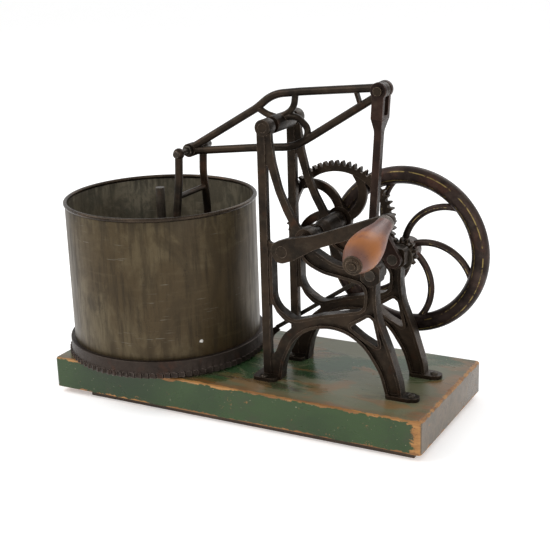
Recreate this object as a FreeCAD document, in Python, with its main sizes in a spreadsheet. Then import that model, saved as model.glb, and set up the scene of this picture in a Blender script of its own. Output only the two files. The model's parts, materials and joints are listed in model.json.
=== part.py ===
import FreeCAD, Part
import math
import os
from types import SimpleNamespace

from FreeCAD import Rotation, Vector

# Hand-cranked rotary food chopper on a wooden board, in millimetres.
# +X runs along the board from the turning vat to the crank gear, +Y runs from the
# crank side to the flywheel side, and +Z is up.  The origin is on the underside of
# the plinth, at the middle of the board.  Heights called "rise" start at the
# board's top face.

SIZES = {
    # board and plinth
    "board_length": 470,
    "board_width": 191,
    "board_thick": 37,
    "board_edge_round": 2.5,
    "plinth_height": 8,
    "plinth_side_inset": 8,
    "plinth_left_inset": 45,
    "plinth_right_inset": 10,
    # turning vat on its toothed ring
    "vat_x": -132.3,
    "vat_radius": 113.2,
    "vat_wall": 1.4,
    "vat_floor": 1.6,
    "vat_top_rise": 186,
    "bead_radius": 2.4,
    "ring_gap": 2,
    "ring_radius": 118.4,
    "ring_top_rise": 21.5,
    "ring_floor": 5,
    "ring_tooth_height": 6,
    "ring_tooth_depth": 2.3,
    "ring_tooth_count": 90,
    "block_top_rise": 26,
    "post_radius": 5.25,
    "post_top_rise": 197.5,
    "post_root": 20,
    # side frames
    "front_plane_y": -43.5,
    "rear_plane_y": 26.5,
    "web_thick": 5.5,
    "flange_depth": 13,
    "flange_thick": 3.4,
    "bar_depth": 8,
    "boss_depth": 14,
    "front_shaft_boss_depth": 16,
    "foot_thick": 4.5,
    "screw_radius": 2,
    "screw_head_radius": 4.3,
    "screw_head_height": 2.4,
    "screw_length": 22,
    "left_screw_x": 31,
    "left_screw_spread": 12.6,
    "right_screw_x": 204,
    "sleeve_reach": 25,
    "sleeve_nose": 12,
    "sleeve_nose_radius": 7.2,
    # walking beam
    "pivot_x": 36,
    "pivot_rise": 286.3,
    "pivot_radius": 5,
    "pivot_boss_radius": 9,
    "shaft_inset": 0.5,
    "beam_y": -8.5,
    "beam_tilt": 18.3,
    "beam_left_reach": 122.7,
    "beam_right_reach": 126.4,
    "beam_rod_radius": 4.4,
    "beam_arm_radius": 3.7,
    "beam_hub_radius": 9.5,
    "beam_hub_length": 44,
    "beam_right_boss_length": 9,
    "beam_eye_radius": 7.8,
    "beam_eye_length": 12,
    # chopper fork
    "fork_pin_radius": 3.6,
    "fork_top_half": 26.5,
    "fork_low_half": 34,
    "fork_leg_radius": 4.5,
    "fork_lean": 4,
    "fork_cross_drop": 49.5,
    "fork_cross_radius": 3.25,
    "blade_bar_rise": 76,
    "blade_bar_size": 9,
    "blade_half": 47,
    "blade_thick": 3,
    "blade_edge_rise": 31.5,
    # connecting rod
    "ear_radius": 9,
    "ear_thick": 5,
    "clevis_gap": 10.4,
    "clevis_slot_drop": 26,
    "rod_width": 8.5,
    "bolt_radius": 3,
    "big_end_radius": 9.5,
    "big_end_length": 24,
    "bolt_head_radius": 4.8,
    "bolt_head_height": 2.8,
    "bolt_nut_radius": 5.2,
    "bolt_nut_height": 3.5,
    # hand crank
    "crank_x": 83.8,
    "crank_rise": 169.1,
    "crank_shaft_radius": 6,
    "shaft_boss_radius": 11,
    "arm_y": -98,
    "arm_thick": 7,
    "arm_angle": 20.5,
    "arm_reach": 126,
    "arm_hub_radius": 12,
    "arm_half_width": 7,
    "spindle_radius": 3.5,
    "grip_droop": 10.6,
    "grip_length": 97,
    "grip_max_radius": 18.4,
    "grip_washer_radius": 9.6,
    "ferrule_radius": 9,
    # gears
    "tooth_module": 2.35,
    "gear_teeth": 56,
    "pinion_teeth": 14,
    "mesh_angle": 22.97,
    "gear_y": 37.3,
    "gear_thick": 7,
    "gear_rim_inner": 56,
    "gear_hub_radius": 15,
    # flywheel and crank
    "flywheel_shaft_radius": 6,
    "flywheel_y": 55.5,
    "flywheel_radius": 86.2,
    "flywheel_rim_radius": 10,
    "flywheel_hub_radius": 14,
    "flywheel_hub_length": 18,
    "spoke_radius": 3.9,
    "crank_throw": 30,
    "crank_phase": 120,
    "crank_pin_radius": 5,
    "web_gap": 2,
    "crank_web_thick": 7,
    "crank_web_half": 8.5,
    # feed pawl
    "pawl_gap": 0.5,
    "pawl_thick": 2.5,
    "pawl_width": 5,
    "pawl_tip_thick": 3,
    "eccentric_offset": 3,
    "eccentric_radius": 10.5,
    # fits
    "running_fit": 0.05,
    "end_play": 0.4,
    "tooth_play": 0.34,
}

doc = FreeCAD.newDocument("RotaryChopper")
sheet = doc.addObject("Spreadsheet::Sheet", "Sizes")
parts = {}


class Dim:
    """A size that carries both its number and the sheet expression that gives it."""

    def __init__(self, number, text):
        self.number = float(number)
        self.text = text

    def __float__(self):
        return self.number

    def joined(self, sign, other, number):
        return Dim(number, f"({self.text} {sign} {text_of(other)})")

    def __add__(self, other):
        return self.joined("+", other, self.number + float(other))

    def __sub__(self, other):
        return self.joined("-", other, self.number - float(other))

    def __mul__(self, other):
        return self.joined("*", other, self.number * float(other))

    def __truediv__(self, other):
        return self.joined("/", other, self.number / float(other))

    def __neg__(self):
        return self.joined("*", -1, -self.number)

    def __radd__(self, other):
        return self + other

    def __rmul__(self, other):
        return self * other

    def __rsub__(self, other):
        return -self + other


def text_of(size):
    return size.text if isinstance(size, Dim) else repr(float(size))


def cosine(angle):
    return Dim(math.cos(math.radians(float(angle))), f"cos({angle.text} * 1 deg)")


def sine(angle):
    return Dim(math.sin(math.radians(float(angle))), f"sin({angle.text} * 1 deg)")


def fill_sheet():
    """Writes each size into the sheet and gives back the named sizes."""
    for row, (name, value) in enumerate(SIZES.items(), start=1):
        sheet.set(f"A{row}", name)
        sheet.set(f"B{row}", str(value))
        sheet.setAlias(f"B{row}", name)
    doc.recompute()
    return SimpleNamespace(**{name: Dim(sheet.get(name), f"Sizes.{name}") for name in SIZES})


d = fill_sheet()

# ---- places worked out from the sizes -------------------------------------------------

TOP = d.plinth_height + d.board_thick
PIVOT_Z = TOP + d.pivot_rise
CRANK_Z = TOP + d.crank_rise
ZERO = Dim(0, "0")
GEAR_RADIUS = d.tooth_module * d.gear_teeth / 2
PINION_RADIUS = d.tooth_module * d.pinion_teeth / 2
SHAFT_X = d.crank_x + (GEAR_RADIUS + PINION_RADIUS) * cosine(d.mesh_angle)
SHAFT_Z = CRANK_Z - (GEAR_RADIUS + PINION_RADIUS) * sine(d.mesh_angle)
EYE_X = d.pivot_x - d.beam_left_reach * cosine(d.beam_tilt)
EYE_Z = PIVOT_Z - d.beam_left_reach * sine(d.beam_tilt)
ROD_X = d.pivot_x + d.beam_right_reach * cosine(d.beam_tilt)
ROD_Z = PIVOT_Z + d.beam_right_reach * sine(d.beam_tilt)
PIN_X = SHAFT_X + d.crank_throw * cosine(d.crank_phase)
PIN_Z = SHAFT_Z + d.crank_throw * sine(d.crank_phase)
TIP_X = d.crank_x + d.arm_reach * cosine(d.arm_angle)
TIP_Z = CRANK_Z + d.arm_reach * sine(d.arm_angle)
ARM_FRONT_Y = d.arm_y - d.arm_thick
REAR_BACK_Y = d.rear_plane_y + d.boss_depth / 2
PAWL_Y = REAR_BACK_Y + d.pawl_gap
REAR_WEB_Y = d.rear_plane_y - d.boss_depth / 2 - d.web_gap - d.crank_web_thick
FRONT_WEB_Y = d.front_plane_y + d.boss_depth / 2 + d.web_gap

ALONG_Y = Rotation(Vector(1, 0, 0), -90)
UPRIGHT = Rotation()

# ---- general helpers -------------------------------------------------------------------


def keep(node, thing):
    """Names a finished sub-part; the label is also its file name."""
    thing.Label = node
    parts[node] = thing
    return thing


def place(thing, x, y, z, rotation=UPRIGHT):
    thing.Placement = FreeCAD.Placement(Vector(), rotation)
    for axis, size in zip("xyz", (x, y, z)):
        thing.setExpression(f"Placement.Base.{axis}", text_of(size))
    return thing


def cylinder(name, radius, length, x, y, z, rotation=ALONG_Y):
    bar = doc.addObject("Part::Cylinder", name)
    bar.setExpression("Radius", text_of(radius))
    bar.setExpression("Height", text_of(length))
    return place(bar, x, y, z, rotation)


def cone(name, near_radius, far_radius, length, x, y, z, rotation=ALONG_Y):
    taper = doc.addObject("Part::Cone", name)
    taper.setExpression("Radius1", text_of(near_radius))
    taper.setExpression("Radius2", text_of(far_radius))
    taper.setExpression("Height", text_of(length))
    return place(taper, x, y, z, rotation)


def box(name, x, y, z, length, width, height, rotation=UPRIGHT):
    block = doc.addObject("Part::Box", name)
    block.setExpression("Length", text_of(length))
    block.setExpression("Width", text_of(width))
    block.setExpression("Height", text_of(height))
    return place(block, x, y, z, rotation)


def hexagon(name, radius, length, x, y, z):
    nut = doc.addObject("Part::Prism", name)
    nut.Polygon = 6
    nut.setExpression("Circumradius", text_of(radius))
    nut.setExpression("Height", text_of(length))
    return place(nut, x, y, z, ALONG_Y)


def fuse(name, *pieces):
    joined = doc.addObject("Part::MultiFuse", name)
    joined.Shapes = list(pieces)
    joined.Refine = True
    return joined


def group(name, *pieces):
    gathered = doc.addObject("Part::Compound", name)
    gathered.Links = list(pieces)
    return gathered


def cut(name, base, *tools):
    tool = tools[0] if len(tools) == 1 else fuse(f"{name}_tools", *tools)
    result = doc.addObject("Part::Cut", name)
    result.Base = base
    result.Tool = tool
    return result


def solid(name, shape, placement=None):
    """A piece made directly from Part shapes."""
    feature = doc.addObject("Part::Feature", name)
    feature.Shape = shape
    if placement:
        feature.Placement = placement
    return feature


def round_corner(before, corner, after, radius):
    """Start, middle and end of the arc that rounds a corner, or None where it runs straight."""
    back = (before - corner).normalize()
    ahead = (after - corner).normalize()
    half_turn = (math.pi - back.getAngle(ahead)) / 2
    if radius <= 0 or half_turn < 1e-3:
        return None
    shorter = min((before - corner).Length, (after - corner).Length)
    tangent = min(radius * math.tan(half_turn), 0.499 * shorter)
    used = tangent / math.tan(half_turn)
    middle = corner + (back + ahead).normalize() * (used / math.cos(half_turn) - used)
    return corner + back * tangent, middle, corner + ahead * tangent


def rounded_path(points, closed):
    """Lines joined by tangent arcs through points given as (position, corner radius)."""
    count = len(points)
    runs = []
    starts = []
    for index, (corner, radius) in enumerate(points):
        ends = not closed and index in (0, count - 1)
        before = points[index - 1][0]
        after = points[(index + 1) % count][0]
        arc = None if ends else round_corner(before, corner, after, radius)
        starts.append(arc or (corner, None, corner))
    for index, (start, middle, end) in enumerate(starts):
        if middle:
            runs.append(Part.Arc(start, middle, end))
        if closed or index < count - 1:
            following = starts[(index + 1) % count][0]
            if (following - end).Length > 1e-4:
                runs.append(Part.LineSegment(end, following))
    return Part.Wire([run.toShape() for run in runs])


def flat(points):
    """A closed outline from (across, up) or (across, up, corner radius) tuples."""
    listed = [(Vector(p[0], p[1], 0), p[2] if len(p) > 2 else 0) for p in points]
    return rounded_path(listed, closed=True)


def tube(points, radius, bend):
    """A solid round bar along straight runs joined by arcs of the bend radius."""
    path = rounded_path([(point, bend) for point in points], closed=False)
    section = Part.Wire(Part.makeCircle(radius, points[0], points[1] - points[0]))
    return path.makePipeShell([section], True, True)


def rod_between(start, end, radius):
    return Part.makeCylinder(radius, (end - start).Length, start, end - start)


def plane_of(body, role):
    return next(item for item in body.Origin.OriginFeatures if item.Role == role)


def sketch_geometry(edge):
    """The sketch curve of one edge; arcs run anticlockwise, as sketches keep them."""
    curve = edge.Curve
    if curve.TypeId == "Part::GeomLine":
        return Part.LineSegment(edge.Vertexes[0].Point, edge.Vertexes[-1].Point)
    if curve.TypeId != "Part::GeomCircle":
        return curve
    full = Part.Circle(curve.Center, Vector(0, 0, 1), curve.Radius)
    if edge.isClosed():
        return full
    middle = edge.valueAt((edge.FirstParameter + edge.LastParameter) / 2)
    angles = []
    for point in (edge.Vertexes[0].Point, middle, edge.Vertexes[-1].Point):
        offset = point - curve.Center
        angles.append(math.atan2(offset.y, offset.x))
    first, half, last = angles
    if (half - first) % math.tau > (last - first) % math.tau:
        first, last = last, first
    return Part.ArcOfCircle(full, first, first + (last - first) % math.tau)


def draw(body, name, wires, role, offset):
    """A sketch of closed outlines on an origin plane, moved along the plane's normal."""
    sketch = body.newObject("Sketcher::SketchObject", name)
    sketch.AttachmentSupport = [(plane_of(body, role), "")]
    sketch.MapMode = "FlatFace"
    sketch.setExpression("AttachmentOffset.Base.z", text_of(offset))
    for wire in wires:
        for edge in wire.Edges:
            sketch.addGeometry(sketch_geometry(edge), False)
    return sketch


def pad(body, name, wires, near, depth, role="XZ_Plane"):
    """Pads outlines: along Y from near on the XZ plane, or up Z from near on XY."""
    offset = -(near + depth) if role == "XZ_Plane" else near
    feature = body.newObject("PartDesign::Pad", name)
    feature.Profile = draw(body, f"{name}_sketch", wires, role, offset)
    feature.setExpression("Length", text_of(depth))
    return feature


def pocket(body, name, wires, near, depth, role="XZ_Plane"):
    """Cuts outlines out of the body over the same stretch that pad would fill."""
    offset = -near if role == "XZ_Plane" else near + depth
    feature = body.newObject("PartDesign::Pocket", name)
    feature.Profile = draw(body, f"{name}_sketch", wires, role, offset)
    feature.setExpression("Length", text_of(depth))
    return feature


def revolve(body, name, wire):
    """Turns an outline drawn beside the Z axis all the way round."""
    sketch = draw(body, f"{name}_sketch", [wire], "XZ_Plane", ZERO)
    feature = body.newObject("PartDesign::Revolution", name)
    feature.Profile = sketch
    feature.ReferenceAxis = (sketch, ["V_Axis"])
    feature.Angle = 360
    return feature


def new_body(name):
    return doc.addObject("PartDesign::Body", name)


def ring_of(radius, across=0.0, up=0.0):
    """A circle for a sketch."""
    return Part.Wire(Part.makeCircle(float(radius), Vector(float(across), float(up), 0)))


def polar(radius, degrees, across=0.0, up=0.0):
    turn = math.radians(degrees)
    return Vector(across + radius * math.cos(turn), up + radius * math.sin(turn), 0)


def grown(wire, distance):
    """The outline moved outwards (or inwards, when negative) by a distance."""
    return Part.Face(wire).makeOffset2D(distance).OuterWire

# ---- board and frames ------------------------------------------------------------------


def screw_places():
    """Centres of the foot screws: two in each left foot, one in each right foot."""
    places = []
    for plane in (d.front_plane_y, d.rear_plane_y):
        places.append((d.left_screw_x, plane - d.left_screw_spread))
        places.append((d.left_screw_x, plane + d.left_screw_spread))
        places.append((d.right_screw_x, plane))
    return places


def base_board():
    body = new_body("board")
    half_length = float(d.board_length) / 2
    half_width = float(d.board_width) / 2
    corners = [(-half_length, -half_width, 4), (half_length, -half_width, 4),
               (half_length, half_width, 4), (-half_length, half_width, 4)]
    plank = pad(body, "plank", [flat(corners)], d.plinth_height, d.board_thick, "XY_Plane")
    doc.recompute()
    top = float(TOP)
    names = [f"Edge{i}" for i, edge in enumerate(plank.Shape.Edges, start=1)
             if edge.BoundBox.ZMin > top - 0.01]
    rounding = body.newObject("PartDesign::Fillet", "worn_edges")
    rounding.Base = (plank, names)
    rounding.setExpression("Radius", "Sizes.board_edge_round")
    holes = [ring_of(d.screw_radius, x, y) for x, y in screw_places()]
    depth = d.screw_length - d.foot_thick
    pocket(body, "screw_holes", holes, TOP - depth, depth, "XY_Plane")
    post_hole = [ring_of(d.post_radius, d.vat_x)]
    pocket(body, "post_hole", post_hole, TOP - d.post_root, d.post_root, "XY_Plane")
    keep("base_board", body)
    keep("base_plinth", box(
        "plinth", d.plinth_left_inset - d.board_length / 2, d.plinth_side_inset - d.board_width / 2,
        ZERO, d.board_length - d.plinth_left_inset - d.plinth_right_inset,
        d.board_width - 2 * d.plinth_side_inset, d.plinth_height))


def frame_outlines():
    """Outlines of one side frame, as (across, up) with up from the board's top face."""
    px, pz = float(d.pivot_x), float(d.pivot_rise)
    cx, cz = float(d.crank_x), float(d.crank_rise)
    fx, fz = float(SHAFT_X), float(SHAFT_Z - TOP)
    outer = [
        (px - 9.8, 0), (px - 8.6, pz), (px + 7.5, pz), (px + 8, pz - 14, 30), (px + 11, pz - 36, 90),
        (cx - 29, cz + 50, 80), (cx - 20, cz + 31, 80), (cx - 10, cz + 13, 40), (cx, cz),
        (cx + 12, cz - 13, 5), (cx + 35, cz - 25.5, 40), (fx - 17, fz + 5.5, 30),
        (fx - 6, fz + 3, 2), (fx + 7.5, fz + 3, 2), (fx + 6, fz - 28, 60), (fx + 9, fz - 50, 60),
        (fx + 22, fz - 82, 60), (fx + 34, fz - 120, 60), (fx + 36, 0),
    ]
    arch = [
        (49, 0), (53.5, 24, 60), (67, 51.5, 50), (87, 66, 50), (112, 71, 90),
        (134.5, 66.5, 50), (153, 52.5, 50), (fx + 10.5, 27, 60), (fx + 18, 0),
    ]
    loop = [
        (42.5, cz - 13, 18), (cx - 11.5, cz - 14, 8), (cx + 1.5, cz - 29, 30),
        (cx + 20, cz - 37, 60), (fx - 28, fz - 8.9, 60), (fx - 6.5, fz - 12.5, 11),
        (fx - 7, fz - 40.5, 12), (128, 90.5, 40), (100, 84, 60), (67, 73.5, 16), (42.5, 89, 24),
    ]
    small = [(135, 76, 2), (147, 83, 30), (157.5, 90, 3), (162.5, 86, 4), (169.5, 56, 2), (150, 65.5, 60)]
    slot = [
        (px + 0.3, 26, 2), (42, 32, 20), (48, 47, 40), (54.5, 56.5, 30), (67, 67, 2), (55, 70, 14),
        (45, 79, 16), (px + 0.3, 94, 3),
    ]
    brace = [
        (px + 1.3, cz + 82, 1), (px + 5.6, cz + 67, 30), (cx - 36.1, cz + 47.4, 60),
        (cx - 26.9, cz + 26, 60), (cx - 17.8, cz + 9.6, 8), (cx - 22, cz - 3, 6),
        (px + 0.3, cz - 13, 5),
    ]
    upright = [(px - 9.8, 0), (px - 8.6, pz), (px + 0.8, pz), (px - 0.4, 0)]
    return {name: flat([(p[0], p[1] + float(TOP)) + tuple(p[2:]) for p in points])
            for name, points in (("outer", outer), ("arch", arch), ("loop", loop),
                                 ("small", small), ("slot", slot), ("brace", brace),
                                 ("upright", upright))}


def slab_region(x0, x1, z0, z1):
    return Part.makePlane(x1 - x0, z1 - z0, Vector(x0, z0, 0))


def flange_regions(lines):
    """Flat strips that stand out from the web along the openings and the rear leg."""
    thick = float(d.flange_thick)
    top = float(TOP)
    outer_face = Part.Face(lines["outer"])
    strips = []
    for name in ("loop", "small", "arch"):
        strip = Part.Face(grown(lines[name], thick)).cut(Part.Face(lines[name]))
        strips.append(strip.common(outer_face))
    crank_x = float(d.crank_x)
    edge = outer_face.cut(Part.Face(grown(lines["outer"], -thick)))
    above_foot = top + float(d.foot_thick) - 0.5
    right_side = slab_region(crank_x + 8, crank_x + 400, above_foot, float(CRANK_Z) - 8)
    strips.append(edge.common(right_side))
    regions = []
    for strip in strips:
        regions += [face.Wires for face in strip.Faces if face.Area > 4]
    return regions


def side_frame(node, plane, front):
    body = new_body(node)
    lines = frame_outlines()
    openings = [lines[name] for name in ("loop", "small", "slot", "brace")]
    web_near = plane - d.web_thick / 2
    web = Part.Face(lines["outer"]).cut(Part.Face(lines["arch"]))
    pad(body, "web", [web.Faces[0].OuterWire] + openings, web_near, d.web_thick)
    pad(body, "upright", [lines["upright"]], plane - d.bar_depth / 2, d.bar_depth)
    for index, wires in enumerate(flange_regions(lines)):
        pad(body, f"flange{index}", wires, plane - d.flange_depth / 2, d.flange_depth)
    crank_half = d.front_shaft_boss_depth / 2 if front else d.boss_depth / 2
    pivot_at = (d.pivot_x, PIVOT_Z)
    crank_at = (d.crank_x, CRANK_Z)
    shaft_at = (SHAFT_X, SHAFT_Z)
    pad(body, "pivot_boss", [ring_of(d.pivot_boss_radius, *pivot_at)],
        plane - d.boss_depth / 2, d.boss_depth)
    pad(body, "crank_boss", [ring_of(d.shaft_boss_radius, *crank_at)],
        plane - crank_half, crank_half * 2)
    fx, fz = float(SHAFT_X), float(SHAFT_Z)
    block = flat([(fx - 11, fz - 7, 4), (fx - 11, fz + 10.8, 4), (fx + 11, fz + 10.8, 4),
                  (fx + 11, fz - 7, 4), (fx, fz - 14, 6)])
    pad(body, "shaft_block", [block], plane - d.boss_depth / 2, d.boss_depth)
    if not front:
        pad(body, "sleeve", [ring_of(float(d.shaft_boss_radius) - 0.2, *crank_at)],
            plane - d.boss_depth / 2 - d.sleeve_reach, d.sleeve_reach + 1)
    px = float(d.pivot_x)
    left_foot = [(px - 18, -17.75), (px + 11, -17.75), (px + 11, 17.75), (px - 18, 17.75)]
    right_foot = [(fx + 16, -9.25), (fx + 44, -9.25), (fx + 53.5, -5), (fx + 53.5, 5),
                  (fx + 44, 9.25), (fx + 16, 9.25)]
    for name, corners, rounding in (("left_foot", left_foot, 6), ("right_foot", right_foot, 6)):
        placed = flat([(x, y + float(plane), rounding) for x, y in corners])
        pad(body, name, [placed], TOP, d.foot_thick, "XY_Plane")
    holes = [ring_of(d.screw_radius, x, y) for x, y in screw_places()
             if abs(float(y - plane)) < 20]
    pocket(body, "screw_holes", holes, TOP, d.foot_thick, "XY_Plane")
    long_cut = d.boss_depth + 2 * d.sleeve_reach
    pocket(body, "pivot_hole", [ring_of(d.pivot_radius, *pivot_at)],
           plane - long_cut / 2, long_cut)
    pocket(body, "crank_hole", [ring_of(d.crank_shaft_radius + d.running_fit, *crank_at)],
           plane - long_cut / 2, long_cut)
    pocket(body, "shaft_hole", [ring_of(d.flywheel_shaft_radius + d.running_fit, *shaft_at)],
           plane - long_cut / 2, long_cut)
    if front:
        return keep(node, body)
    nose_y = plane - d.boss_depth / 2 - d.sleeve_reach - d.sleeve_nose
    nose = cone("sleeve_nose", d.sleeve_nose_radius, d.shaft_boss_radius - 0.2, d.sleeve_nose,
                d.crank_x, nose_y, CRANK_Z)
    bore = cylinder("nose_bore", d.crank_shaft_radius + d.running_fit, d.sleeve_nose + 1,
                    d.crank_x, nose_y - 0.5, CRANK_Z)
    return keep(node, fuse("rear_casting", body, cut("bored_nose", nose, bore)))


def foot_screws():
    screws = []
    for index, (x, y) in enumerate(screw_places()):
        shank = cylinder(f"shank{index}", d.screw_radius, d.screw_length, x, y,
                         TOP + d.foot_thick - d.screw_length, UPRIGHT)
        head = cylinder(f"head{index}", d.screw_head_radius, d.screw_head_height, x, y,
                        TOP + d.foot_thick, UPRIGHT)
        screws.append(fuse(f"screw{index}", shank, head))
    keep("frame_screws", group("screws", *screws))


def beam_pivot():
    start = d.front_plane_y - d.boss_depth / 2 + d.shaft_inset
    end = d.rear_plane_y + d.boss_depth / 2 - d.shaft_inset
    keep("beam_pivot_shaft", cylinder("pivot", d.pivot_radius, end - start,
                                      d.pivot_x, start, PIVOT_Z))


def centre_post():
    keep("centre_post", cylinder("post", d.post_radius, d.post_root + d.post_top_rise, d.vat_x,
                                 ZERO, TOP - d.post_root, UPRIGHT))


# ---- turning vat -----------------------------------------------------------------------


def turntable():
    hole = float(d.post_radius) + 0.4
    bottom = float(d.ring_gap)
    floor_top = bottom + float(d.ring_floor)
    radius = float(d.ring_radius)
    inner = float(d.vat_radius)
    ring_top = float(d.ring_top_rise)
    ring = new_body("ring")
    section = [(hole, bottom), (radius, bottom), (radius, ring_top, 1), (inner, ring_top),
               (inner, floor_top), (hole, floor_top)]
    revolve(ring, "wall", flat(section))
    outer = radius + float(d.ring_tooth_depth)
    count = int(float(d.ring_tooth_count))
    tips = []
    for tooth in range(count):
        start = 360 * tooth / count
        tips += [polar(radius - 0.3, start), polar(outer, start + 0.8 * 360 / count)]
    teeth = Part.makePolygon(tips + tips[:1])
    pad(ring, "teeth", [teeth, ring_of(radius - 3)], d.ring_gap, d.ring_tooth_height, "XY_Plane")
    floor = float(d.vat_floor)
    wall = float(d.vat_wall)
    top = float(d.vat_top_rise) - float(d.bead_radius)
    shell = new_body("shell")
    revolve(shell, "side", flat([
        (hole, floor_top), (inner, floor_top), (inner, top), (inner - wall, top),
        (inner - wall, floor_top + floor), (hole, floor_top + floor)]))
    block = new_body("block")
    block_top = float(d.block_top_rise)
    revolve(block, "disc", flat([
        (hole, floor_top + floor), (inner - wall - 0.4, floor_top + floor),
        (inner - wall - 0.4, block_top, 2), (hole, block_top)]))
    for body, node in ((ring, "ratchet_ring"), (shell, "vat_shell"), (block, "chopping_block")):
        keep(node, place(body, d.vat_x, ZERO, TOP))
    bead = doc.addObject("Part::Torus", "bead")
    bead.setExpression("Radius1", text_of(d.vat_radius - d.vat_wall / 2))
    bead.setExpression("Radius2", text_of(d.bead_radius))
    keep("vat_rim_wire", place(bead, d.vat_x, ZERO, TOP + d.vat_top_rise))


# ---- gears and hand crank --------------------------------------------------------------


def tooth_outline(teeth, phase):
    """A spur gear outline: involute flanks from the base circle, three points a side."""
    module = float(d.tooth_module)
    pitch = module * teeth / 2
    base = pitch * math.cos(math.radians(20))
    root = pitch - 1.2 * module
    tip = pitch + 0.9 * module
    half_tooth = (math.pi * module / 2 - float(d.tooth_play)) / (2 * pitch)

    def roll(radius):
        pressure = math.acos(min(1.0, base / max(radius, base)))
        return math.tan(pressure) - pressure

    levels = [root, max(root + 0.6, base), pitch, tip]
    offsets = [half_tooth + roll(pitch) - roll(level) for level in levels]
    points = []
    for tooth in range(teeth):
        centre = math.radians(phase) + math.tau * tooth / teeth
        flank = list(zip(levels, offsets))
        for level, offset in flank:
            points.append(polar(level, math.degrees(centre - offset)))
        for level, offset in reversed(flank):
            points.append(polar(level, math.degrees(centre + offset)))
    return Part.makePolygon(points + points[:1])


def drive_gear():
    body = new_body("gear")
    teeth = int(float(d.gear_teeth))
    outline = tooth_outline(teeth, -float(d.mesh_angle))
    pad(body, "rim", [outline, ring_of(d.gear_rim_inner)], d.gear_y, d.gear_thick)
    pad(body, "hub", [ring_of(d.gear_hub_radius)], d.gear_y, d.gear_thick)
    rim = float(d.gear_rim_inner)
    reach = (rim + 2) / 58
    path = Part.Arc(polar(8, 88), polar(37 * reach, 114), polar(rim + 2, 140)).toShape()
    arm = Part.Wire([path]).makeOffset2D(5)
    arm_wire = arm.Wires[0]
    turned = []
    for index in range(5):
        copy = arm_wire.copy()
        copy.rotate(Vector(), Vector(0, 0, 1), 72 * index)
        turned.append(copy)
    for index, wire in enumerate(turned):
        pad(body, f"arm{index}", [wire], d.gear_y + 1, d.gear_thick - 2)
    length = d.gear_thick + 4
    pocket(body, "bore", [ring_of(d.crank_shaft_radius)], d.gear_y - 2, length)
    keep("drive_gear", place(body, d.crank_x, ZERO, CRANK_Z))


def pinion():
    body = new_body("pinion")
    teeth = int(float(d.pinion_teeth))
    outline = tooth_outline(teeth, 180 - float(d.mesh_angle) + 180 / teeth)
    pad(body, "teeth", [outline, ring_of(d.flywheel_shaft_radius)], d.gear_y, d.gear_thick)
    keep("drive_pinion", place(body, SHAFT_X, ZERO, SHAFT_Z))


def arm_turn():
    return Rotation(Vector(0, 1, 0), -float(d.arm_angle))


def grip_direction():
    """The spindle leans from -Y towards the side of the arm."""
    droop = math.radians(float(d.grip_droop))
    arm = math.radians(float(d.arm_angle))
    return Vector(math.sin(droop) * math.sin(arm), -math.cos(droop),
                  -math.sin(droop) * math.cos(arm))


def crank_and_grip():
    shaft_end = d.gear_y + d.gear_thick + 0.7
    shaft_start = ARM_FRONT_Y + d.shaft_inset
    keep("crank_shaft", cylinder("crank_bar", d.crank_shaft_radius, shaft_end - shaft_start,
                                 d.crank_x, shaft_start, CRANK_Z))
    body = new_body("arm")
    reach = float(d.arm_reach)
    hub = float(d.arm_hub_radius)
    half = float(d.arm_half_width)
    outline = flat([(-hub, -hub, hub), (hub * 0.8, -hub, 20), (hub * 3.2, -half, 60),
                    (reach + half, -half, half), (reach + half, half, half),
                    (hub * 3.2, half, 60), (hub * 0.8, hub, 20), (-hub, hub, hub)])
    pad(body, "bar", [outline], ARM_FRONT_Y, d.arm_thick)
    pocket(body, "hub_hole", [ring_of(d.crank_shaft_radius)], ARM_FRONT_Y, d.arm_thick)
    place(body, d.crank_x, ZERO, CRANK_Z, arm_turn())
    direction = grip_direction()
    turn = Rotation(Vector(0, 0, 1), direction)
    foot = Vector(float(TIP_X), float(ARM_FRONT_Y), float(TIP_Z))
    length = float(d.grip_length)
    radius = float(d.spindle_radius)

    def along(distance):
        return foot + direction * distance

    pin = Part.makeCylinder(radius, length + 13.4, along(-9), direction)
    keep("grip_spindle", solid("spindle", pin))
    keep("crank_arm", cut("bored_arm", body, parts["grip_spindle"]))
    rim = float(d.grip_washer_radius)
    washer = Part.makeCylinder(rim, 1.6, along(length + 0.4), direction)
    collar = Part.makeCylinder(rim * 0.66, 1.6, along(length + 2), direction)
    washer = washer.fuse(collar).removeSplitter().cut(pin)
    keep("grip_washer", solid("washer", washer))
    bore = radius + float(d.running_fit)
    ferrule = new_body("ferrule_ring")
    outer = float(d.ferrule_radius)
    revolve(ferrule, "band", flat([(bore, 2.6), (outer - 1, 2.6, 1), (outer, 5, 2),
                                   (outer - 1.5, 9, 1), (bore, 9)]))
    grip = new_body("grip_turning")
    widest = float(d.grip_max_radius)
    profile = [(bore, 9), (7.3, 9), (7.6, length * 0.19), (widest * 0.59, length * 0.33),
               (widest * 0.87, length * 0.49), (widest, length * 0.66),
               (widest * 0.92, length * 0.82), (widest * 0.69, length * 0.95),
               (widest * 0.53, length), (bore, length)]
    curve = Part.BSplineCurve()
    curve.interpolate([Vector(x, z, 0) for x, z in profile[1:-1]])
    ends = [Vector(x, z, 0) for x, z in (profile[-2], profile[-1], profile[0], profile[1])]
    edges = [curve.toShape()]
    edges += [Part.LineSegment(ends[i], ends[i + 1]).toShape() for i in range(3)]
    revolve(grip, "turning", Part.Wire(edges))
    for piece, node in ((ferrule, "grip_ferrule"), (grip, "wooden_grip")):
        keep(node, place(piece, TIP_X, ARM_FRONT_Y, TIP_Z, turn))


# ---- flywheel, crank and feed pawl -----------------------------------------------------


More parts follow.
